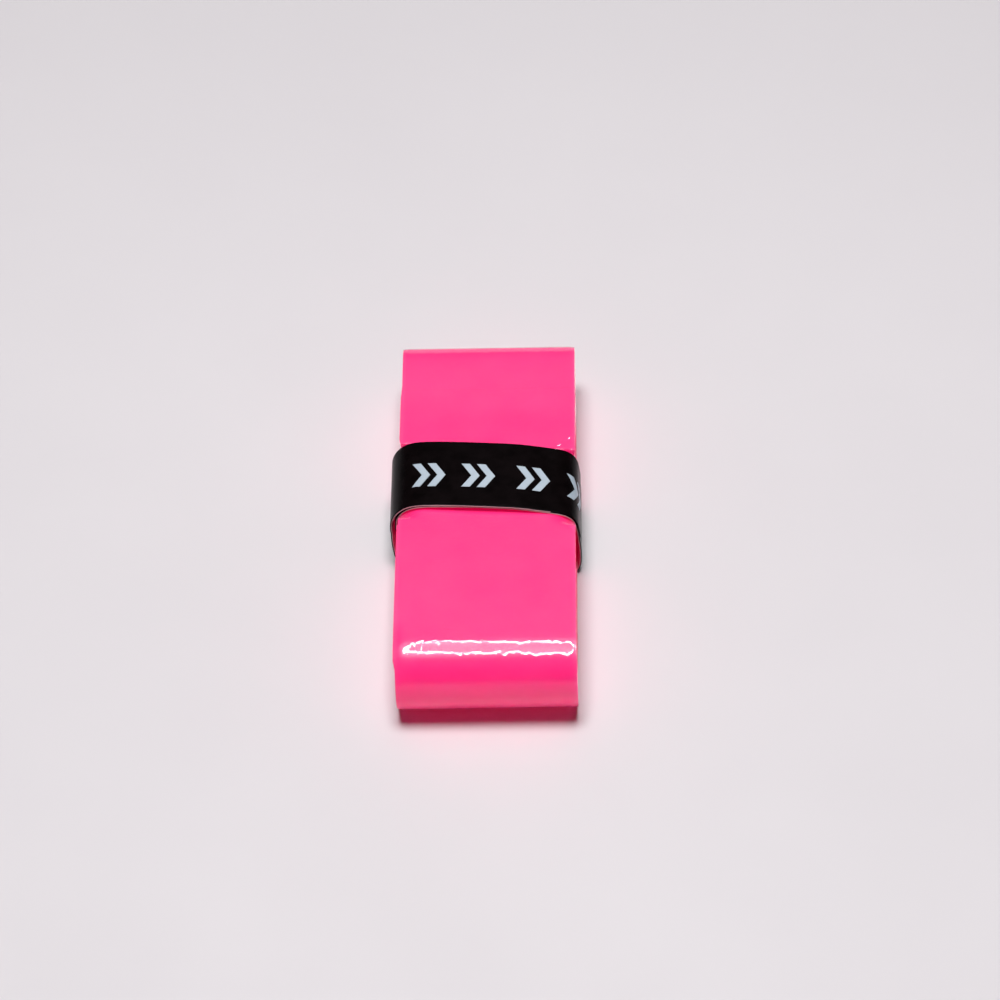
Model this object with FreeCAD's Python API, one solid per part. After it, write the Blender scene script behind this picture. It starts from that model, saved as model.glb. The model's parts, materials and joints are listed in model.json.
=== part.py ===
import FreeCAD, Part
import math
import os

from FreeCAD import Vector

# Grip tape roll: a flat, coreless roll of racket overgrip held by a strip of finishing tape.
# Millimetres. X is the winding axis (across the tape), Y is the long way of the flat roll,
# +Z is up. The origin is on the floor under the middle of the roll.

# ---- driving dimensions -------------------------------------------------------------
tape_width = 25.0            # standard overgrip width
tape_length = 1100.0         # standard overgrip length, along the middle of its thickness
backing_t = 0.22             # nonwoven backing
coat_t = 0.34                # tacky polyurethane coat
film_t = 0.04                # clear protective film on the tacky side
layer_gap = 0.02             # air between neighbouring layers
flat_run = 55.4              # distance between the two bend centres
core_gap = 0.30              # space left in the middle of the roll
bends = 16                   # full half-turn bends between the core and the outer end
outer_end_angle = -20.0      # where the outer end stops on the back bend, degrees
tail_hinge_y = 16.0          # the outer end can be lifted from here on
film_hinge_y = 22.0          # the film can be peeled off the outer end from here on
cut_gap = 0.10               # space between a piece and its hinged end

taper_length = 53.0          # one-sided taper of the inner (starting) end
taper_tip_width = 8.0
starter_length = 30.0        # double-sided starter pad on the tapered end
starter_t = 0.08
starter_liner_t = 0.08

band_width = 12.7            # half-inch finishing tape
band_vinyl_t = 0.10
band_adhesive_t = 0.03
band_liner_t = 0.08
band_layer_gap = 0.015
band_turn_gap = 0.02
band_half_width = 13.10      # inside face of the first turn to the middle of the loop
band_top_radius = 1.20
band_bottom_radius = 0.60
band_crown = 0.20            # rise of the top run above its corners
band_yaw = -3.0              # the loop sits a little askew, degrees about +Z
band_centre_y = 3.05
band_inner_end_z = 6.2       # inner end of the band, on the left wall
band_outer_end_z = 7.2       # outer end of the band, on the right wall
band_hinge_u = 9.7           # the outer end of the band can be peeled from here on
roll_lift = 0.38             # underside of the roll above the floor
roll_top_room = 0.50         # inside of the band's top corners above the roll

mark_t = 0.03                # printed marks on the band
mark_height = 4.6
mark_stroke = 1.20
mark_starts = (-10.6, -3.6, 4.2)
end_mark_start = 11.2

# ---- derived ------------------------------------------------------------------------
pitch = backing_t + coat_t + film_t + 3 * layer_gap
inner_radius = core_gap / 2
coat_d = backing_t + layer_gap
film_d = coat_d + coat_t + layer_gap
film_top = film_d + film_t
half_run = flat_run / 2


def bend_radius(j):
    return inner_radius + j * pitch / 2


def bend_centre(j):
    back = j % 2 == 0
    return (half_run, -pitch / 4) if back else (-half_run, pitch / 4)


roll_under = pitch / 4 + bend_radius(bends - 2) + film_top
roll_over = pitch / 4 + bend_radius(bends - 1) + film_top
roll_z = roll_lift + roll_under
roll_y = -(bend_radius(bends) - bend_radius(bends - 1)) / 2

bent_length = sum(math.pi * (bend_radius(j) + film_top / 2) for j in range(bends))
last_turn = math.radians(90 - outer_end_angle) * (bend_radius(bends) + film_top / 2)
first_run = tape_length - bent_length - last_turn - bends * flat_run
first_run = min(first_run, flat_run - 0.4)
start_y = half_run - first_run


def roll_point(y, z, x=-tape_width / 2):
    return Vector(x, y + roll_y, z + roll_z)


def arc(cy, cz, r, a0, a1):
    pts = []
    for a in (a0, (a0 + a1) / 2, a1):
        t = math.radians(a)
        pts.append(roll_point(cy + r * math.cos(t), cz + r * math.sin(t)))
    return Part.Arc(*pts).toShape()


def strip_path(d, first, last_y):
    """Edges of the spiral at distance d outside the strip's inner face.
    first: (y, j) where it starts on the flat before bend j; last_y: y on the last flat
    where it stops, or None to run on round the back bend to the outer end."""
    y, j = first
    edges = []
    while True:
        cy, cz = bend_centre(j)
        r = bend_radius(j) + d
        side = 1 if j % 2 == 0 else -1
        z = cz + side * r
        if j == bends and last_y is not None:
            edges.append(Part.makeLine(roll_point(y, z), roll_point(last_y, z)))
            return edges
        edges.append(Part.makeLine(roll_point(y, z), roll_point(cy, z)))
        if j == bends:
            edges.append(arc(cy, cz, r, 90, outer_end_angle))
            return edges
        edges.append(arc(cy, cz, r, 90, -90) if side > 0 else arc(cy, cz, r, 270, 90))
        y, j = cy, j + 1


def strip_layer(d0, d1, first, last_y):
    inner = strip_path(d0, first, last_y)
    outer = strip_path(d1, first, last_y)
    p0, p1 = inner[0].firstVertex(True).Point, outer[0].firstVertex(True).Point
    q0, q1 = inner[-1].lastVertex(True).Point, outer[-1].lastVertex(True).Point
    ends = [Part.makeLine(p0, p1), Part.makeLine(q0, q1)]
    wire = Part.Wire(Part.__sortEdges__(inner + outer + ends))
    return Part.Face(wire).extrude(Vector(tape_width, 0, 0))


def prism(points, z0, z1):
    pts = [Vector(x, y, z0) for x, y in points]
    return Part.Face(Part.makePolygon(pts + [pts[0]])).extrude(Vector(0, 0, z1 - z0))


# ---- the wound strip ----------------------------------------------------------------
core_start = (start_y, 0)
core_z = roll_z - pitch / 4 + inner_radius
tip_y = start_y + roll_y
taper_x0 = -tape_width / 2 + taper_tip_width
taper_cut = prism(
    [
        (taper_x0, tip_y - 0.2),
        (tape_width / 2 + 1, tip_y - 0.2),
        (tape_width / 2 + 1, tip_y + taper_length),
        (tape_width / 2, tip_y + taper_length),
        (taper_x0, tip_y),
    ],
    core_z - 0.10,
    core_z + film_top + layer_gap / 2,
)

layers = {"backing": (0.0, backing_t), "coat": (coat_d, coat_d + coat_t), "film": (film_d, film_top)}
nodes = {}
for name, (d0, d1) in layers.items():
    wound = strip_layer(d0, d1, core_start, tail_hinge_y - cut_gap).cut(taper_cut)
    if name == "film":
        nodes["protective_film"] = wound
        nodes["film_tail"] = strip_layer(d0, d1, (tail_hinge_y, bends), film_hinge_y - cut_gap)
        nodes["film_end"] = strip_layer(d0, d1, (film_hinge_y, bends), None)
    else:
        nodes["tape_" + name] = wound
        nodes["tape_tail_" + name] = strip_layer(d0, d1, (tail_hinge_y, bends), None)

# ---- starter pad on the tapered inner end -------------------------------------------
pad_edge = 0.5
taper_slope = (tape_width - taper_tip_width) / taper_length
pad_shape = [
    (-tape_width / 2 + pad_edge, tip_y + pad_edge),
    (taper_x0 - pad_edge, tip_y + pad_edge),
    (taper_x0 - pad_edge + taper_slope * starter_length, tip_y + starter_length),
    (-tape_width / 2 + pad_edge, tip_y + starter_length),
]
pad_top = core_z - layer_gap
nodes["starter_adhesive"] = prism(pad_shape, pad_top - starter_t, pad_top)
liner_top = pad_top - starter_t - layer_gap
nodes["starter_liner"] = prism(pad_shape, liner_top - starter_liner_t, liner_top)

# ---- the finishing-tape band --------------------------------------------------------
adhesive_d = band_liner_t + band_layer_gap
vinyl_d = adhesive_d + band_adhesive_t + band_layer_gap
vinyl_top = vinyl_d + band_vinyl_t
turn = vinyl_top + band_turn_gap
bottom_z = vinyl_top
top_z = roll_lift + roll_under + roll_over + roll_top_room
top_corner_z = top_z - band_top_radius
top_corner_u = band_half_width - band_top_radius
bottom_corner_u = band_half_width - band_bottom_radius
apex = band_top_radius + band_crown
crown_radius = (top_corner_u ** 2 + apex ** 2 - band_top_radius ** 2) / (2 * band_crown)
crown_z = top_corner_z + apex - crown_radius
crown_angle = math.degrees(math.asin(top_corner_u / (crown_radius - band_top_radius)))


def band_arc(cu, cz, r, a0, a1):
    pts = []
    for a in (a0, (a0 + a1) / 2, a1):
        t = math.radians(a)
        pts.append(Vector(cu + r * math.cos(t), -band_width / 2, cz + r * math.sin(t)))
    return Part.Arc(*pts).toShape()


def band_line(u0, z0, u1, z1):
    return Part.makeLine(Vector(u0, -band_width / 2, z0), Vector(u1, -band_width / 2, z1))


def crown_at(u, r):
    return math.degrees(math.acos(u / r))


def band_main(d):
    """First turn from its inner end on the left wall, under the roll, and over the top again."""
    c, w = 90 + crown_angle, band_half_width + d
    low = bottom_z + band_bottom_radius
    r1, r2 = band_top_radius + d, band_top_radius + turn + d
    stop = crown_at(band_hinge_u - cut_gap, crown_radius + turn + d)
    return [
        band_line(-w, band_inner_end_z, -w, top_corner_z),
        band_arc(-top_corner_u, top_corner_z, r1, 180, c),
        band_arc(0, crown_z, crown_radius + d, c, 180 - c),
        band_arc(top_corner_u, top_corner_z, r1, 180 - c, 0),
        band_line(w, top_corner_z, w, low),
        band_arc(bottom_corner_u, low, band_bottom_radius + d, 0, -90),
        band_line(bottom_corner_u, bottom_z - d, -bottom_corner_u, bottom_z - d),
        band_arc(-bottom_corner_u, low + turn, band_bottom_radius + turn + d, 270, 180),
        band_line(-w - turn, low + turn, -w - turn, top_corner_z),
        band_arc(-top_corner_u, top_corner_z, r2, 180, c),
        band_arc(0, crown_z, crown_radius + turn + d, c, stop),
    ]


def band_end(d):
    """The last stretch, over the right-hand corner and down the right wall."""
    c, w = 90 - crown_angle, band_half_width + turn + d
    r = crown_radius + turn + d
    return [
        band_arc(0, crown_z, r, crown_at(band_hinge_u, r), c),
        band_arc(top_corner_u, top_corner_z, band_top_radius + turn + d, c, 0),
        band_line(w, top_corner_z, w, band_outer_end_z),
    ]


def band_layer(path, d0, d1):
    inner, outer = path(d0), path(d1)
    p0, p1 = inner[0].firstVertex(True).Point, outer[0].firstVertex(True).Point
    q0, q1 = inner[-1].lastVertex(True).Point, outer[-1].lastVertex(True).Point
    ends = [Part.makeLine(p0, p1), Part.makeLine(q0, q1)]
    wire = Part.Wire(Part.__sortEdges__(inner + outer + ends))
    return Part.Face(wire).extrude(Vector(0, band_width, 0))


def crown_run(d):
    c = 90 + crown_angle
    return [
        band_arc(0, crown_z, crown_radius + turn + d, c, 180 - c),
        band_arc(top_corner_u, top_corner_z, band_top_radius + turn + d, 180 - c, 0),
    ]


def chevron(u, limit):
    """Two chevrons side by side, as upright prisms, cut off at u = limit."""
    h, s, tip = mark_height / 2, mark_stroke, 1.4
    shapes = []
    for k in (0.0, 2.2):
        pts = [(0, h), (s, h), (s + tip, 0), (s, -h), (0, -h), (tip, 0)]
        shapes.append(prism([(u + k + a, b) for a, b in pts], top_corner_z, top_z + 3))
    both = shapes[0].fuse(shapes[1])
    room = prism([(u - 1, -h - 1), (limit, -h - 1), (limit, h + 1), (u - 1, h + 1)], 0, top_z + 5)
    return both.common(room)


band = {
    "band_vinyl": band_layer(band_main, vinyl_d, vinyl_top),
    "band_adhesive": band_layer(band_main, adhesive_d, adhesive_d + band_adhesive_t),
    "band_liner": band_layer(band_main, 0.0, band_liner_t),
    "band_end_vinyl": band_layer(band_end, vinyl_d, vinyl_top),
    "band_end_adhesive": band_layer(band_end, adhesive_d, adhesive_d + band_adhesive_t),
}
ink = band_layer(crown_run, vinyl_top + band_layer_gap, vinyl_top + band_layer_gap + mark_t)
marks = [chevron(u, u + 6).common(ink) for u in mark_starts]
band["band_print"] = Part.makeCompound([s for m in marks for s in m.Solids])
end_mark = chevron(end_mark_start, band_half_width - 0.3).common(ink)
band["band_end_print"] = Part.makeCompound(end_mark.Solids)

for name, shape in band.items():
    shape.rotate(Vector(0, 0, 0), Vector(0, 0, 1), band_yaw)
    shape.translate(Vector(0, band_centre_y, 0))
    nodes[name] = shape

# ---- one STEP file per node ---------------------------------------------------------
os.makedirs("parts", exist_ok=True)
for name, shape in nodes.items():
    shape.exportStep("parts/" + name + ".step")
    box = shape.BoundBox
    print("%-20s solids %d valid %s vol %.3f  x %.2f..%.2f  y %.2f..%.2f  z %.3f..%.3f" % (
        name, len(shape.Solids), shape.isValid(), shape.Volume,
        box.XMin, box.XMax, box.YMin, box.YMax, box.ZMin, box.ZMax))

hinge_z = crown_z + math.sqrt((crown_radius + turn + vinyl_top) ** 2 - band_hinge_u ** 2)
yaw = math.radians(band_yaw)
print("strip length %.1f  first run %.2f" % (
    bent_length + last_turn + bends * flat_run + first_run, first_run))
print("tail hinge y %.3f, film hinge y %.3f, z %.3f" % (
    tail_hinge_y + roll_y, film_hinge_y + roll_y, roll_z + roll_over))
print("band end hinge x %.3f y %.3f z %.3f axis %.5f %.5f" % (
    band_hinge_u * math.cos(yaw), band_centre_y + band_hinge_u * math.sin(yaw), hinge_z,
    math.sin(yaw), -math.cos(yaw)))
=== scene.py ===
import json
import math

import bpy
import numpy as np
from mathutils import Matrix, Vector, noise


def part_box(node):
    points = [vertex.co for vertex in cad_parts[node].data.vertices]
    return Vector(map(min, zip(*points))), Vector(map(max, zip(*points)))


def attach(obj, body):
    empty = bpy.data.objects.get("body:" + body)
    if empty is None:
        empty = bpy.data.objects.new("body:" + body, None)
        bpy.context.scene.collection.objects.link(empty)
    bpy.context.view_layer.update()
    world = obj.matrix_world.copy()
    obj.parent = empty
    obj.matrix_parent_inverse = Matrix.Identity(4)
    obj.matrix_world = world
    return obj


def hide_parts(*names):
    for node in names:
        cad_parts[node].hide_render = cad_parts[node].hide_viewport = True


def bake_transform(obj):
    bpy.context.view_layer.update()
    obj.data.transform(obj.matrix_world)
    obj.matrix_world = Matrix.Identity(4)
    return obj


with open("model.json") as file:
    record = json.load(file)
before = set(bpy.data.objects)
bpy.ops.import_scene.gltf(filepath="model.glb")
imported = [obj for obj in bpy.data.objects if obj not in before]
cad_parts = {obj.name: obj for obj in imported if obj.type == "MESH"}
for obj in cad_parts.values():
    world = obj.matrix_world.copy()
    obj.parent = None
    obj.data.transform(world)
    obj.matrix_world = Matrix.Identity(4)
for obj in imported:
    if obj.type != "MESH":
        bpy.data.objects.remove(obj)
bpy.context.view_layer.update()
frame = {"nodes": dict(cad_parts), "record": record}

MM = 0.001

# ------------------------------------------------------------------ the strip, as in the CAD
WIDTH = 25.0
BACKING, COAT, FILM, AIR = 0.22, 0.34, 0.04, 0.02
PITCH = BACKING + COAT + FILM + 3 * AIR
COAT_D = BACKING + AIR
FILM_D = COAT_D + COAT + AIR
FILM_TOP = FILM_D + FILM
HALF_RUN = 55.4 / 2
CORE_R = 0.15
BENDS = 16
END_ANGLE = -20.0
TAPER_LENGTH, TAPER_TIP = 53.0, 8.0

MID = 0.3                             # the strip keeps its length this far outside its inner face
FIRST_FLAT = 54.53                    # from the inner end to the first bend

film_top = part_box("protective_film")[1][2] / MM
ROLL_Z = film_top - (PITCH / 4 + CORE_R + (BENDS - 1) * PITCH / 2 + FILM_TOP)
ROLL_Y = -PITCH / 4
START_Y = HALF_RUN - FIRST_FLAT
UNDER_BAND = 3.2                      # the outer turn's pieces meet at this y, under the band
hinges = {j["name"]: j for j in frame["record"]["behaviour"]["joints"]}
FILM_Y = hinges["film_lift"]["pos_m"][1] / MM
TOP_Z = hinges["tail_lift"]["pos_m"][2] / MM

band_low, band_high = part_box("band_vinyl")
BAND_Y = (band_low[1] + band_high[1]) / 2 / MM - 0.05
BAND_HALF = 12.7 / 2
BAND_SHEAR = math.tan(math.radians(4.5))

# ------------------------------------------------------------------ how the soft roll has given way
CREEP, UNEVEN = 0.25, 0.03            # inner turns sunk into the left side, and their unevenness
CREEP_FRONT, CREEP_BACK = -21.4, 27.0 # the sunk stretch, between the two bends
BULGE = 0.10                          # the front bend stands out a little to the right
SOFT_EDGE = 0.012                     # share by which the long edges draw in
WAIST_DROP, WAIST_SQUEEZE = 1.6, 0.028  # how the band presses the top corners down and in
WAIST_RAMP, WAIST_FRONT = 0.36, 2.6   # length of the step behind the band, and of the slope before it
SAG = 0.20                            # slope of the sagging left shoulder near the front
SPRING_UP, SPRING_OUT = 0.75, 0.45    # shares by which the loose end springs up and back
WAVE = 0.03                           # height of the roll's slight waves


def smooth(t):
    t = np.clip(t, 0.0, 1.0)
    return t * t * (3 - 2 * t)


def bend_radius(j):
    return CORE_R + j * PITCH / 2


def bend_centre(j):
    return (HALF_RUN, -PITCH / 4) if j % 2 == 0 else (-HALF_RUN, PITCH / 4)


def strip_runs():
    """The strip's path as [kind, bend number, from, to, length]: flats by y and bends by angle."""
    runs, y = [], START_Y
    for j in range(BENDS + 1):
        cy, cz = bend_centre(j)
        runs.append(["flat", j, y, cy, abs(cy - y)])
        a0, a1 = (90.0, -90.0) if j % 2 == 0 else (270.0, 90.0)
        if j == BENDS:
            a1 = END_ANGLE
        runs.append(["bend", j, a0, a1, math.radians(abs(a1 - a0)) * (bend_radius(j) + MID)])
        y = cy
    return runs


RUNS = strip_runs()
STARTS = np.concatenate([[0.0], np.cumsum([r[4] for r in RUNS])])
LENGTH = STARTS[-1]


def station(s):
    """(y, z, normal y, normal z, turn) of the strip's inner face at length s."""
    k = int(min(max(np.searchsorted(STARTS, s, side="right") - 1, 0), len(RUNS) - 1))
    kind, j, a, b, length = RUNS[k]
    t = (s - STARTS[k]) / length
    cy, cz = bend_centre(j)
    r = bend_radius(j)
    if kind == "flat":
        side = 1.0 if j % 2 == 0 else -1.0
        return a + (b - a) * t, cz + side * r, 0.0, side, j - 0.5 + 0.5 * t
    ang = math.radians(a + (b - a) * t)
    c, d = math.cos(ang), math.sin(ang)
    return cy + r * c, cz + r * d, c, d, j + 0.5 * t


def length_at(kind, j, value):
    """Length along the strip at a y on a flat, or at an angle on a bend."""
    for k, run in enumerate(RUNS):
        if run[0] == kind and run[1] == j:
            return STARTS[k] + run[4] * (value - run[2]) / (run[3] - run[2])


def steps(marks):
    """Lengths from the first mark to the last, with each mark's own spacing up to the next."""
    out = []
    for (s0, gap), (s1, _) in zip(marks, marks[1:]):
        n = max(1, int(round((s1 - s0) / gap)))
        out += list(np.linspace(s0, s1, n, endpoint=False))
    return np.array(out + [marks[-1][0]])


def run_steps(s0, s1, flat_gap, bend_gap):
    cuts = [s for s in STARTS if s0 < s < s1]
    out = []
    for a, b in zip([s0] + cuts, cuts + [s1]):
        k = int(np.searchsorted(STARTS, (a + b) / 2, side="right") - 1)
        gap = flat_gap if RUNS[k][0] == "flat" else max(0.25, bend_gap * RUNS[k][4])
        out += list(np.linspace(a, b, max(2, int(math.ceil((b - a) / gap))), endpoint=False))
    return np.array(out + [s1])


def slide_out(turn, y, z):
    """How far each turn has crept out of the roll's left side, between the two bends."""
    uneven = UNEVEN * np.sin(1.9 * turn + 0.6) * smooth((14.8 - turn) / 2.0)
    creep = -CREEP * smooth((14.6 - turn) / 3.0) + uneven
    creep *= smooth((y + z + ROLL_Z - CREEP_FRONT) / 1.4) * smooth((CREEP_BACK - y) / 6.0)
    return creep + BULGE * smooth((-29.5 - y) / 2.5)


def warp(p):
    """The soft roll's shape: softened edges, and a waist where the band holds it."""
    x, y, z = p[..., 0].copy(), p[..., 1].copy(), p[..., 2].copy()
    h = (z - ROLL_Z) / (TOP_Z - ROLL_Z)
    edge = 1 - SOFT_EDGE * smooth((np.abs(x) - 11.6) / 1.0) ** 1.5
    centre = np.clip(y, ROLL_Y - HALF_RUN, ROLL_Y + HALF_RUN)
    z = ROLL_Z + (z - ROLL_Z) * edge
    y = centre + (y - centre) * edge
    off = y - (BAND_Y - BAND_SHEAR * x)
    before = -off - BAND_HALF
    hold = np.clip(1 - (np.abs(off) - BAND_HALF - 0.02) / WAIST_RAMP, 0, 1)
    press = np.where(off > 0, hold, smooth(1 - (before + 0.2) / WAIST_FRONT))
    up = np.clip(h, 0, 1.2) ** 1.3
    t = np.clip((np.abs(x) - 8.4) / 4.1, 0, 1.2)
    z = z - WAIST_DROP * t * t * press * up
    z = z - SAG * np.clip(-11.2 - x, 0, None) * smooth((-22.5 - y) / 4.5) * smooth((h - 0.2) / 0.5)
    out = np.clip(-WIDTH / 2 - x, 0, None)
    x = x * (1 - WAIST_SQUEEZE * t * hold * np.clip(h, 0, 1)) + 0.9 * out * hold
    spring = smooth((y - 15.0) / 14.0) * (0.74 - 0.009 * x) * smooth((h - 0.82) / 0.1)
    z = z + SPRING_UP * spring
    y = y + SPRING_OUT * spring
    wave = WAVE * np.sin(0.21 * y + 0.8) * np.sin(0.17 * x + 0.5 * h)
    z = z + wave * np.abs(h)
    return np.stack([x, y, z], -1)


def slab(name, top, bottom):
    """A closed thin solid between two grids of points in millimetres."""
    n, m = top.shape[:2]
    verts = np.concatenate([top.reshape(-1, 3), bottom.reshape(-1, 3)]) * MM
    i, k = np.meshgrid(np.arange(n - 1), np.arange(m - 1), indexing="ij")
    a = (i * m + k).ravel()
    upper = np.stack([a, a + m, a + m + 1, a + 1], -1)
    lower = upper[:, ::-1] + n * m
    rows, cols = np.arange(n) * m, np.arange(m)
    rims = []
    for rim in (rows[::-1], rows + m - 1, cols, (n - 1) * m + cols[::-1]):
        rims.append(np.stack([rim[:-1], rim[1:], rim[1:] + n * m, rim[:-1] + n * m], -1))
    faces = np.concatenate([upper, lower] + rims)
    tri = np.concatenate([faces[:, [0, 1, 2]], faces[:, [0, 2, 3]]])
    a, b, c = verts[tri[:, 0]], verts[tri[:, 1]], verts[tri[:, 2]]
    if np.einsum("ij,ij->i", a, np.cross(b, c)).sum() < 0:
        faces = faces[:, ::-1]
    mesh = bpy.data.meshes.new(name)
    mesh.from_pydata(verts.tolist(), [], faces.tolist())
    mesh.validate()
    mesh.shade_smooth()
    mesh.set_sharp_from_angle(angle=math.radians(42))
    obj = bpy.data.objects.new(name, mesh)
    bpy.context.scene.collection.objects.link(obj)
    return obj


def strip_piece(name, lengths, d0, d1, columns, lift=None):
    """One layer of the strip between distances d0 and d1 outside its inner face."""
    st = np.array([station(s) for s in lengths])
    y, z, ny, nz, turn = (st[:, i:i + 1] for i in range(5))
    along = lengths[:, None]
    slant = -WIDTH / 2 + TAPER_TIP + (WIDTH - TAPER_TIP) * along / TAPER_LENGTH
    right = np.where(along < TAPER_LENGTH, slant, WIDTH / 2)
    t = (columns[None, :] + WIDTH / 2) / WIDTH
    x0 = -WIDTH / 2 + t * (right + WIDTH / 2)
    x = x0 + slide_out(turn, y, z)
    raise_by = np.zeros_like(x) if lift is None else lift(along + 0 * x, x0)
    sides = []
    for d in (d1, d0):
        out = d + raise_by
        p = np.stack([x, y + ny * out + ROLL_Y, z + nz * out + ROLL_Z], -1)
        sides.append(warp(p))
    return slab(name, sides[0], sides[1])


# ------------------------------------------------------------------ materials
def nodes_of(name):
    mat = bpy.data.materials.new(name)
    mat.use_nodes = True
    tree = mat.node_tree
    return mat, tree, tree.nodes["Principled BSDF"]


def add(tree, kind, **values):
    node = tree.nodes.new(kind)
    for key, value in values.items():
        if key in node.inputs:
            node.inputs[key].default_value = value
        else:
            setattr(node, key, value)
    return node


def object_noise(tree, scale, detail=3.0, stretch=(1, 1, 1), seed=0.0):
    coords = add(tree, "ShaderNodeTexCoord")
    mapping = add(tree, "ShaderNodeMapping", Scale=stretch, Location=(seed, seed * 0.7, -seed))
    tex = add(tree, "ShaderNodeTexNoise", Scale=scale, Detail=detail)
    tree.links.new(coords.outputs["Object"], mapping.inputs["Vector"])
    tree.links.new(mapping.outputs["Vector"], tex.inputs["Vector"])
    return tex.outputs["Fac"]


def ramp(tree, fac, stops):
    node = add(tree, "ShaderNodeValToRGB")
    els = node.color_ramp.elements
    while len(els) < len(stops):
        els.new(0.5)
    for el, (pos, col) in zip(els, stops):
        el.position = pos
        el.color = (*col, 1)
    tree.links.new(fac, node.inputs["Fac"])
    return node.outputs["Color"]


def mix(tree, fac, a, b):
    node = add(tree, "ShaderNodeMix", data_type="RGBA")
    for value, socket in ((fac, 0), (a, 6), (b, 7)):
        if isinstance(value, bpy.types.NodeSocket):
            tree.links.new(value, node.inputs[socket])
        else:
            node.inputs[socket].default_value = value if socket == 0 else (*value, 1)
    return node.outputs[2]


def bump(tree, bsdf, height, strength, distance):
    node = add(tree, "ShaderNodeBump", Strength=strength, Distance=distance)
    tree.links.new(height, node.inputs["Height"])
    tree.links.new(node.outputs["Normal"], bsdf.inputs["Normal"])


def near_edge(tree, start, full):
    """0 across the strip, rising to 1 at its two long edges, between two distances from its middle."""
    coords = add(tree, "ShaderNodeTexCoord")
    split = add(tree, "ShaderNodeSeparateXYZ")
    size = add(tree, "ShaderNodeMath", operation="ABSOLUTE")
    span = add(tree, "ShaderNodeMapRange", interpolation_type="SMOOTHSTEP")
    span.inputs["From Min"].default_value = start
    span.inputs["From Max"].default_value = full
    tree.links.new(coords.outputs["Object"], split.inputs[0])
    tree.links.new(split.outputs["X"], size.inputs[0])
    tree.links.new(size.outputs[0], span.inputs["Value"])
    return span.outputs[0]


def varied(name, low, high, scale, rough, grain=None, detail=4.0, stretch=(1, 1, 1), bumpy=None,
           edge=None, **sockets):
    """A material whose colour runs between two close tones, with its own roughness and relief."""
    mat, tree, bsdf = nodes_of(name)
    tone = object_noise(tree, scale, detail, stretch)
    colour = ramp(tree, tone, [(0.34, low), (0.66, high)])
    if grain:
        fine = object_noise(tree, grain[0], 2.0, stretch, seed=0.013)
        colour = mix(tree, grain[1], colour, ramp(tree, fine, [(0.3, low), (0.7, high)]))
    # an optional colour towards the strip's long edges; on the coat it is a painted highlight along them
    if edge:
        colour = mix(tree, near_edge(tree, 11.8 * MM, WIDTH / 2 * MM), colour, edge)
    tree.links.new(colour, bsdf.inputs["Base Color"])
    span = ramp(tree, object_noise(tree, scale * 1.7, 3.0, stretch, seed=0.021),
                [(0.3, (rough[0],) * 3), (0.7, (rough[1],) * 3)])
    tree.links.new(span, bsdf.inputs["Roughness"])
    if bumpy:
        bump(tree, bsdf, object_noise(tree, bumpy[0], 5.0, stretch, seed=0.007), bumpy[1], bumpy[2])
    for key, value in sockets.items():
        bsdf.inputs[key.replace("_", " ")].default_value = value
    return mat


coat_mat = varied(                       # fluorescent pink; its constant red emission is a painted glow that also stands in for red bounce light in the shade under the roll
    "tacky_coat", (1.0, 0.008, 0.200), (1.0, 0.022, 0.240), 170, (0.56, 0.66),
    # edge: a lighter pink along the two long edges, a painted highlight
    grain=(3600, 0.75), bumpy=(5200, 0.10, 0.00002), edge=(1.0, 0.085, 0.300), Specular_IOR_Level=0.50,
    Coat_Weight=1.0, Coat_Roughness=0.27, Sheen_Weight=1.0, Sheen_Roughness=0.33,
    # painted glow: a constant red emission that shines in shade as well as in light
    Emission_Color=(1.0, 0.0, 0.14, 1), Emission_Strength=0.36)
backing_mat = varied(
    "felt_backing", (0.90, 0.16, 0.33), (0.98, 0.30, 0.46), 900, (0.86, 0.98),
    grain=(5200, 0.6), stretch=(1, 0.25, 1), bumpy=(4200, 0.6, 0.00006),
    Sheen_Weight=0.25, Specular_IOR_Level=0.2)
film_mat = varied(
    "clear_film", (1.0, 0.04, 0.34), (1.0, 0.07, 0.38), 240, (0.05, 0.075),
    bumpy=(1500, 0.10, 0.000012), Alpha=0.21, IOR=2.0)
vinyl_mat = varied(
    "black_vinyl", (0.0020, 0.0012, 0.0014), (0.0045, 0.0028, 0.0032), 500, (0.24, 0.27),
    bumpy=(2400, 0.08, 0.00001), Specular_IOR_Level=0.022)
# white release paper given a darker pink colour: painted pink light bounced from the roll, and painted
# shade
liner_mat = varied(
    "release_paper", (0.58, 0.30, 0.35), (0.68, 0.40, 0.44), 800, (0.6, 0.8),
    grain=(6000, 0.5), bumpy=(6000, 0.3, 0.00001))
glue_mat = varied(
    "adhesive", (0.16, 0.13, 0.12), (0.24, 0.20, 0.18), 900, (0.35, 0.5),
    bumpy=(3000, 0.3, 0.00001))
pad_mat = varied(
    "starter_adhesive", (0.80, 0.77, 0.66), (0.88, 0.85, 0.75), 500, (0.4, 0.6),
    bumpy=(2500, 0.3, 0.00001))
ink_mat = varied(
    "printed_ink", (0.40, 0.475, 0.555), (0.44, 0.52, 0.60), 900, (0.42, 0.52),
    grain=(5000, 0.4), bumpy=(5000, 0.15, 0.000006))


def dress(obj, mat, body=None, nodes=()):
    obj.data.materials.clear()
    obj.data.materials.append(mat)
    if body:
        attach(obj, body)
    if nodes:
        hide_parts(*nodes)
    return obj


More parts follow.
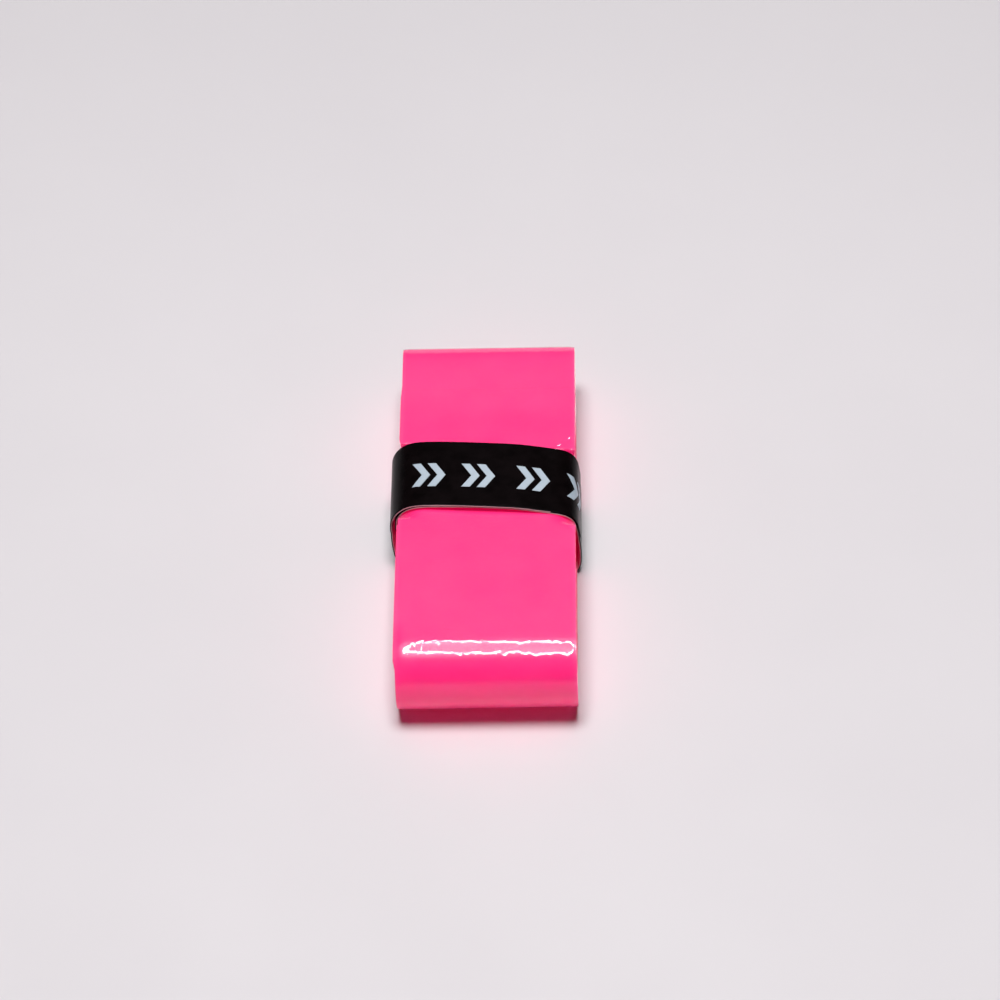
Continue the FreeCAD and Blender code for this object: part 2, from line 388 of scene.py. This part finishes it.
# ------------------------------------------------------------------ the wound strip
coarse = np.array([-12.5, -12.2, -11.6, -10.2, -8.4, -6, -3, 0, 3, 6, 8.4, 10.2, 11.6, 12.2, 12.5])
medium = np.concatenate([[-12.5, -12.42, -12.2, -11.9], np.linspace(-11.5, 11.5, 39),
                         [11.9, 12.2, 12.42, 12.5]])
s_under = length_at("flat", BENDS - 1, UNDER_BAND)
s_over = length_at("flat", BENDS, UNDER_BAND)
s_crown = length_at("bend", BENDS - 1, 90.0)
s_film = length_at("flat", BENDS, FILM_Y - ROLL_Y - 0.6)
s_wound = run_steps(0.0, s_under, 3.0, 0.05)


def finer(lengths, lo, hi, gap):
    """The same rows, with close ones between two y values on the last flat."""
    a, b = (length_at("flat", BENDS, v - ROLL_Y) for v in (lo, hi))
    a, b = max(a, lengths[0]), min(b, lengths[-1])
    return np.unique(np.concatenate([lengths[(lengths < a) | (lengths > b)],
                                     np.linspace(a, b, int((b - a) / gap) + 2)]))


BEFORE_BAND, BEHIND_BAND = (-6.3, -1.2), (7.6, 12.4)     # where the top steps down at the band's edges
s_front = finer(run_steps(s_under, s_over, 0.9, 0.03), *BEFORE_BAND, 0.12)
s_tail = finer(run_steps(s_over, LENGTH, 0.45, 0.04), *BEHIND_BAND, 0.12)

strip = {}
for layer, d0, d1 in (("backing", 0.0, BACKING), ("coat", COAT_D, COAT_D + COAT)):
    strip[layer] = [
        strip_piece("grip_%s_wound" % layer, s_wound, d0, d1, coarse),
        strip_piece("grip_%s_outer_turn" % layer, s_front, d0, d1, medium),
        strip_piece("grip_%s_tail" % layer, s_tail, d0, d1, medium),
    ]

FOLD_HALF_WIDTH = 0.13
CREASES = [  # short wrinkles of the film on the front bend: x, length past the crown, to x, length; height
    (-6.4, -1.35, -5.2, -0.05, 0.055),
    (1.2, -1.6, 2.8, -2.95, 0.034),
    (-8.6, -1.5, -8.2, -0.6, 0.04),
    (-0.8, -0.2, 0.3, -0.85, 0.045),
    (5.9, -0.4, 6.6, -0.9, 0.03),
    (-3.0, -2.2, -2.4, -2.9, 0.03),
]
PUCKER = [   # a thin pucker of the film just behind the band, near its right side: x, y, to x, y; height
    (9.8, 9.6, 10.6, 9.95, 0.08),
    (10.6, 9.95, 11.2, 10.9, 0.08),
    (11.2, 10.9, 12.3, 11.4, 0.07),
]
TUNNEL = 0.28                            # how far the film stands off the front bend


def film_lift(s, x):
    """How far the film stands off the coat: a shallow tunnel over the front bend, with crinkles."""
    u = s - s_crown
    along = smooth((u + 16.0) / 10.9) * smooth((4.2 - u) / 2.8)
    left = np.clip((-7.3 - x) / 3.9, 0, 1)
    right = np.clip((x - 12.1) / 0.4, 0, 1)
    twist = -0.075 * (x + 3.0) / 12.5 * np.clip(u + 1.6, -2.4, 2.0)
    tunnel = along * ((TUNNEL + twist) * (1 - left ** 2) - 0.038 * right ** 2)
    crinkle = np.zeros_like(x)
    near = (along > 0) & (np.abs(u) < 8)
    for i, k in zip(*np.nonzero(near)):
        p = Vector((x[i, k] * 0.45, u[i, k] * 0.40, 3.1))
        q = Vector((x[i, k] * 1.3, u[i, k] * 0.62, 7.7))
        r = Vector((x[i, k] * 3.3, u[i, k] * 1.20, 1.3))
        crinkle[i, k] = 0.024 * noise.noise(p) + 0.040 * noise.noise(q) + 0.017 * noise.noise(r)
    crinkle *= along * smooth((u + 6.5) / 3.0) * (0.35 + 0.65 * smooth((x + 11.0) / 3.0))
    return np.clip(tunnel + crinkle, 0, None) + folds(x, u, CREASES)


def folds(x, u, creases):
    """Small pinched ridges along short lines."""
    fold = np.zeros_like(x)
    for x0, u0, x1, u1, height in creases:
        dx, du = x1 - x0, u1 - u0
        t = np.clip(((x - x0) * dx + (u - u0) * du) / (dx * dx + du * du), 0, 1)
        gap = np.hypot(x - x0 - t * dx, u - u0 - t * du)
        ridge = np.exp(-(gap / FOLD_HALF_WIDTH) ** 2) * np.sin(np.pi * (0.1 + 0.8 * t))
        fold = np.maximum(fold, height * ridge)
    return fold


def tail_pucker(s, x):
    """How far the pucker behind the band stands up; the last flat runs along y."""
    return folds(x, ROLL_Y - HALF_RUN + s - STARTS[2 * BENDS], PUCKER)


fine = np.concatenate([[-12.5, -12.44, -12.36, -12.26], np.linspace(-12.14, 12.14, 175),
                       [12.24, 12.32, 12.4, 12.46, 12.5]])
s_film_front = steps([(s_under, 3.0), (s_under + 28.0, 0.8), (s_crown - 9.0, 0.4), (s_crown - 4.2, 0.11),
                      (s_crown + 1.4, 0.3), (s_crown + 5.0, 1.2), (s_over, 1.0)])
s_film_front = finer(s_film_front, *BEFORE_BAND, 0.12)
film = [
    strip_piece("film_wound", s_wound, FILM_D, FILM_TOP, coarse),
    strip_piece("film_outer_turn", s_film_front, FILM_D, FILM_TOP, fine, film_lift),
    strip_piece("film_tail_near", finer(run_steps(s_over, s_film, 0.6, 0.04), *BEHIND_BAND, 0.1),
                FILM_D, FILM_TOP, fine, tail_pucker),
    strip_piece("film_tail_end", run_steps(s_film, LENGTH, 0.45, 0.04), FILM_D, FILM_TOP, medium),
]

dress(strip["coat"][0], coat_mat, "roll", ["tape_coat"])
dress(strip["coat"][1], coat_mat, "roll")
dress(strip["coat"][2], coat_mat, None, ["tape_tail_coat"])
dress(strip["backing"][0], backing_mat, "roll", ["tape_backing"])
dress(strip["backing"][1], backing_mat, "roll")
dress(strip["backing"][2], backing_mat, None, ["tape_tail_backing"])
dress(film[0], film_mat, "roll", ["protective_film"])
dress(film[1], film_mat, "roll")
dress(film[2], film_mat, None, ["film_tail"])
dress(film[3], film_mat, None, ["film_end"])
for piece in (strip["coat"][2], strip["backing"][2], film[2]):
    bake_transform(piece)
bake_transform(film[3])

# ------------------------------------------------------------------ the finishing-tape band
VINYL, GLUE, LINER, BAND_AIR = 0.10, 0.03, 0.08, 0.015
BAND_GAP = 0.25                          # from turn to turn
FLOOR_AIR = 0.035                        # under the band


def spline(points, gap=0.22):
    """Points at even spacing on a smooth curve through the given ones."""
    p = np.array(points, float)
    p = np.concatenate([[2 * p[0] - p[1]], p, [2 * p[-1] - p[-2]]])
    out = []
    for a, b, c, d in zip(p, p[1:], p[2:], p[3:]):
        t0, t1 = 0.0, math.sqrt(np.linalg.norm(b - a))
        t2 = t1 + math.sqrt(np.linalg.norm(c - b))
        t3 = t2 + math.sqrt(np.linalg.norm(d - c))
        t = np.linspace(t1, t2, 14, endpoint=False)[:, None]
        ab = (t1 - t) / (t1 - t0) * a + (t - t0) / (t1 - t0) * b
        bc = (t2 - t) / (t2 - t1) * b + (t - t1) / (t2 - t1) * c
        cd = (t3 - t) / (t3 - t2) * c + (t - t2) / (t3 - t2) * d
        abc = (t2 - t) / (t2 - t0) * ab + (t - t0) / (t2 - t0) * bc
        bcd = (t3 - t) / (t3 - t1) * bc + (t - t1) / (t3 - t1) * cd
        out.append((t2 - t) / (t2 - t1) * abc + (t - t1) / (t2 - t1) * bcd)
    out = np.concatenate(out + [p[-2:-1]])
    s = np.concatenate([[0], np.cumsum(np.linalg.norm(np.diff(out, axis=0), axis=1))])
    even = np.linspace(0, s[-1], int(s[-1] / gap) + 1)
    return np.stack([np.interp(even, s, out[:, 0]), np.interp(even, s, out[:, 1])], -1)


def normals(path):
    t = np.gradient(path, axis=0)
    t /= np.linalg.norm(t, axis=1)[:, None]
    return np.stack([-t[:, 1], t[:, 0]], -1)


BASE = band_low[2] / MM + VINYL / 2 + FLOOR_AIR
first_turn = [  # x and z of the band from its inner end, up the left wall and over the top
    (-12.76, 5.9), (-12.95, 6.6), (-13.12, 7.6), (-13.08, 8.9), (-12.62, 10.2), (-11.75, 11.25),
    (-10.7, 11.9), (-9.5, 12.26), (-7.6, 12.5), (-4.0, 12.66), (0.0, 12.68), (4.0, 12.58),
    (8.0, 12.2), (10.2, 11.88), (11.3, 11.52), (12.1, 10.88), (12.6, 9.9), (12.85, 8.5), (12.98, 7.2),
]
under = [  # on down the right wall, under the roll and up the left wall again
    (13.12, 5.6), (13.17, 3.8), (13.08, 2.0), (12.7, 0.75), (11.9, 0.2), (10.5, BASE), (5.0, BASE),
    (0.0, BASE), (-5.0, BASE), (-10.5, BASE), (-12.2, 0.2), (-13.05, 0.78), (-13.42, 1.8),
    (-13.68, 3.6), (-13.8, 5.4),
]
inner = spline(first_turn, 0.5)
climb = np.cumsum(np.concatenate([[0], np.linalg.norm(np.diff(inner, axis=0), axis=1)]))
stand = np.interp(climb, [0.0, 1.2, 2.6, 4.4, 7.0, 9.5, 22.5, 26.0, 40.0],
                  [0.85, 0.80, 0.66, 0.50, 0.36, BAND_GAP, BAND_GAP, 0.17, 0.17])
outer = inner + normals(inner) * stand[:, None]
loop = spline(first_turn[:-1] + [tuple(inner[-1])] + under + [tuple(p) for p in outer[2:]])
loop_s = np.concatenate([[0], np.cumsum(np.linalg.norm(np.diff(loop, axis=0), axis=1))])
loop_n = normals(loop)
HINGE_X = 9.55                           # the end of the band can be peeled from here on
second_turn = loop_s > loop_s[-1] * 0.6
last = np.nonzero((loop[:, 0] < HINGE_X) & second_turn)[0][-1]


def band_point(s, v, d):
    """A point on the band: s along it, v across it, d outwards from the vinyl's middle."""
    u = np.interp(s, loop_s, loop[:, 0])
    z = np.interp(s, loop_s, loop[:, 1])
    nu = np.interp(s, loop_s, loop_n[:, 0])
    nz = np.interp(s, loop_s, loop_n[:, 1])
    ripple = 0.035 * np.sin(0.33 * s + 0.6) * smooth((z - 1.0) / 2.0)
    return np.stack([u + nu * d, BAND_Y + v + ripple - BAND_SHEAR * u, z + nz * d], -1)


def band_piece(name, s0, s1, d0, d1, v0=-BAND_HALF, v1=BAND_HALF):
    """One layer of the band between two lengths, two distances outwards and two places across."""
    s = np.linspace(s0, s1, max(2, int(round((s1 - s0) / 0.22))))
    v = np.concatenate([[v0, v0 + 0.03, v0 + 0.12], np.linspace(v0 + 0.5, v1 - 0.5, 15),
                        [v1 - 0.12, v1 - 0.03, v1]])
    soft = np.array([0.012, 0.004] + [0.0] * 17 + [0.004, 0.012])
    s, v = s[:, None] + 0 * v[None], v[None] + 0 * s[:, None]
    return slab(name, band_point(s, v, d1 - soft), band_point(s, v, d0))


s_hinge, s_stop = loop_s[last], loop_s[-1]
glue_out = -VINYL / 2 - BAND_AIR
liner_out = glue_out - GLUE - BAND_AIR
band_vinyl = band_piece("band_vinyl_loop", 0, s_hinge, -VINYL / 2, VINYL / 2)
band_glue = band_piece("band_adhesive_loop", 0.2, s_hinge, glue_out - GLUE, glue_out,
                       -BAND_HALF + 0.1, BAND_HALF - 0.1)
band_liner = band_piece("band_liner_loop", 0.0, s_hinge - 0.4, liner_out - LINER, liner_out,
                        -BAND_HALF - 0.07, BAND_HALF - 0.05)
end_vinyl = band_piece("band_end_vinyl_flap", s_hinge, s_stop, -VINYL / 2, VINYL / 2)
end_glue = band_piece("band_end_adhesive_flap", s_hinge, s_stop - 0.15, glue_out - GLUE, glue_out,
                      -BAND_HALF + 0.1, BAND_HALF - 0.1)
dress(band_vinyl, vinyl_mat, "band", ["band_vinyl"])
dress(band_glue, glue_mat, "band", ["band_adhesive"])
dress(band_liner, liner_mat, "band", ["band_liner"])
dress(end_vinyl, vinyl_mat, None, ["band_end_vinyl"])
dress(end_glue, glue_mat, None, ["band_end_adhesive"])

MARK_H, STROKE, TIP, SPACING = 4.6, 1.2, 1.4, 2.2
MARKS = (-10.6, -3.6, 4.2)               # where the marks begin, along x
END_MARK = 11.3                          # the one on the end that can be peeled


def chevrons(name, x_start):
    """Two printed chevrons side by side, lying on the band's face."""
    top = np.nonzero(second_turn & (loop[:, 0] < 12.0))[0][10:]
    s_start = np.interp(x_start, loop[top, 0], loop_s[top])
    made = []
    for n in range(2):
        p = np.linspace(-1, 1, 25)[:, None]
        q = np.linspace(0, 1, 6)[None]
        a = s_start + n * SPACING + q * STROKE + (1 - np.abs(p)) * TIP
        b = 0 * q + p * MARK_H / 2 - 0.4
        lift = VINYL / 2 + 0.012
        made.append(slab("%s_%d" % (name, n + 1), band_point(a, b, lift + 0.02), band_point(a, b, lift)))
    return made


prints = []
for n, x in enumerate(MARKS):
    prints += chevrons("print_mark_%d" % (n + 1), x)
for n, piece in enumerate(prints):
    dress(piece, ink_mat, "band", ["band_print"] if n == 0 else [])
end_prints = chevrons("print_mark_4", END_MARK)
for n, piece in enumerate(end_prints):
    dress(piece, ink_mat, None, ["band_end_print"] if n == 0 else [])
for piece in [end_vinyl, end_glue] + end_prints:
    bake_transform(piece)


# ------------------------------------------------------------------ carried-over CAD nodes
for node, mat in (("starter_adhesive", pad_mat), ("starter_liner", liner_mat)):
    obj = frame["nodes"][node]
    obj.data.materials.clear()
    obj.data.materials.append(mat)

# ------------------------------------------------------------------ floor, light and camera
FLOOR = 1.5                              # half its side, in metres
floor_mesh = bpy.data.meshes.new("floor")
floor_mesh.from_pydata([(-FLOOR, -FLOOR, 0), (FLOOR, -FLOOR, 0), (FLOOR, FLOOR, 0), (-FLOOR, FLOOR, 0)],
                       [], [(0, 1, 2, 3)])
floor = bpy.data.objects.new("floor", floor_mesh)
bpy.context.scene.collection.objects.link(floor)
floor.data.materials.append(varied("floor_paper", (0.735, 0.695, 0.722), (0.752, 0.712, 0.738), 9,
                                   (0.7, 0.85), grain=(60, 0.4)))

aim = Vector((0, 0, 0.01))


def lamp_frame(lean_back, lean_right, distance):
    """A lamp's place and facing, leaning from straight above the roll."""
    way = Vector((math.tan(math.radians(lean_right)), math.tan(math.radians(lean_back)), 1)).normalized()
    return aim + way * distance, way.to_track_quat("Z", "Y").to_matrix().to_4x4(), way


def area(name, at, basis, shape, size, size_y, radiance, mirrored):
    """An area light; a mirrored one is only for the gloss, the other kind only for the surfaces."""
    data = bpy.data.lights.new(name, "AREA")
    data.shape = shape
    data.size = size
    data.size_y = size_y
    surface = size * size_y * (math.pi / 4 if shape == "DISK" else 1)
    data.energy = radiance * surface * math.pi
    obj = bpy.data.objects.new(name, data)
    obj.matrix_world = Matrix.Translation(at) @ basis
    obj.visible_diffuse = not mirrored
    obj.visible_glossy = mirrored
    bpy.context.scene.collection.objects.link(obj)
    return obj


KEY_RADIANCE, RING_RADIANCE, PANEL_RADIANCE = 23.8, 36.0, 3.0
at, basis, way = lamp_frame(-4.0, -0.6, 0.65)
key_r = 0.65 * math.tan(math.radians(12.0))
area("softbox", at, basis, "DISK", 2 * key_r, 2 * key_r, KEY_RADIANCE, False)

RING_N, RING_W = 28, 0.046               # a ring lamp, seen only as the film's closed highlight
at, basis, way = lamp_frame(8.4, 0.0, 0.53)
ring_r = 0.53 * math.tan(math.radians(17.6))
arc = 2 * math.pi * ring_r / RING_N * 1.02
for n in range(RING_N):
    a = 2 * math.pi * n / RING_N
    spot = basis @ Vector((ring_r * math.cos(a), ring_r * math.sin(a), 0))
    area("ring_%02d" % n, at + spot, basis @ Matrix.Rotation(a, 4, "Z"), "RECTANGLE", RING_W, arc,
         RING_RADIANCE, True)
area("panel", at + way * 0.004, basis, "DISK", 2 * ring_r, 2 * ring_r, PANEL_RADIANCE, True)
at, basis, way = lamp_frame(78.0, 0.0, 0.9)
area("back_wall", at, basis, "DISK", 0.35, 0.35, 1.3, True)

world = bpy.data.worlds.new("room")
world.use_nodes = True
sky = world.node_tree                    # dim overhead, lighter towards the horizon
sky.nodes["Background"].inputs["Color"].default_value = (0.98, 0.97, 1.0, 1)
heading = add(sky, "ShaderNodeTexCoord")
level = add(sky, "ShaderNodeSeparateXYZ")
glow = add(sky, "ShaderNodeMapRange", interpolation_type="SMOOTHSTEP")
for key, value in (("From Min", 0.0), ("From Max", 0.22), ("To Min", 0.40), ("To Max", 0.018)):
    glow.inputs[key].default_value = value
sky.links.new(heading.outputs["Generated"], level.inputs[0])
sky.links.new(level.outputs["Z"], glow.inputs["Value"])
sky.links.new(glow.outputs[0], sky.nodes["Background"].inputs["Strength"])
bpy.context.scene.world = world
bpy.context.scene.view_settings.view_transform = "Standard"

PSI, ELEV, ROLL = math.radians(2.51), math.radians(45.0), math.radians(2.92)
FOCAL, DISTANCE = 4.526, 0.6446          # focal length in sensor widths; metres to the roll's middle
AIM_X, AIM_Y = -0.01275, 0.02228         # how far off its axis the camera keeps the roll's middle
SENSOR = 36.0
back = Vector((math.sin(PSI) * math.cos(ELEV), -math.cos(PSI) * math.cos(ELEV), math.sin(ELEV)))
right = (-back).cross(Vector((0, 0, 1))).normalized()
up = right.cross(-back)
middle = Vector((0, 0, (ROLL_Z + 0.165) * MM))
at = middle + back * DISTANCE - right * (AIM_X * DISTANCE / FOCAL) + up * (AIM_Y * DISTANCE / FOCAL)
cam_right = math.cos(ROLL) * right - math.sin(ROLL) * up
cam_up = math.sin(ROLL) * right + math.cos(ROLL) * up
cam_data = bpy.data.cameras.new("camera")
cam_data.sensor_width = SENSOR
cam_data.lens = FOCAL * SENSOR
cam_data.clip_start, cam_data.clip_end = 0.01, 10.0
camera = bpy.data.objects.new("camera", cam_data)
basis = Matrix((cam_right, cam_up, back)).transposed().to_4x4()
camera.matrix_world = Matrix.Translation(at) @ basis
bpy.context.scene.collection.objects.link(camera)
bpy.context.scene.camera = camera
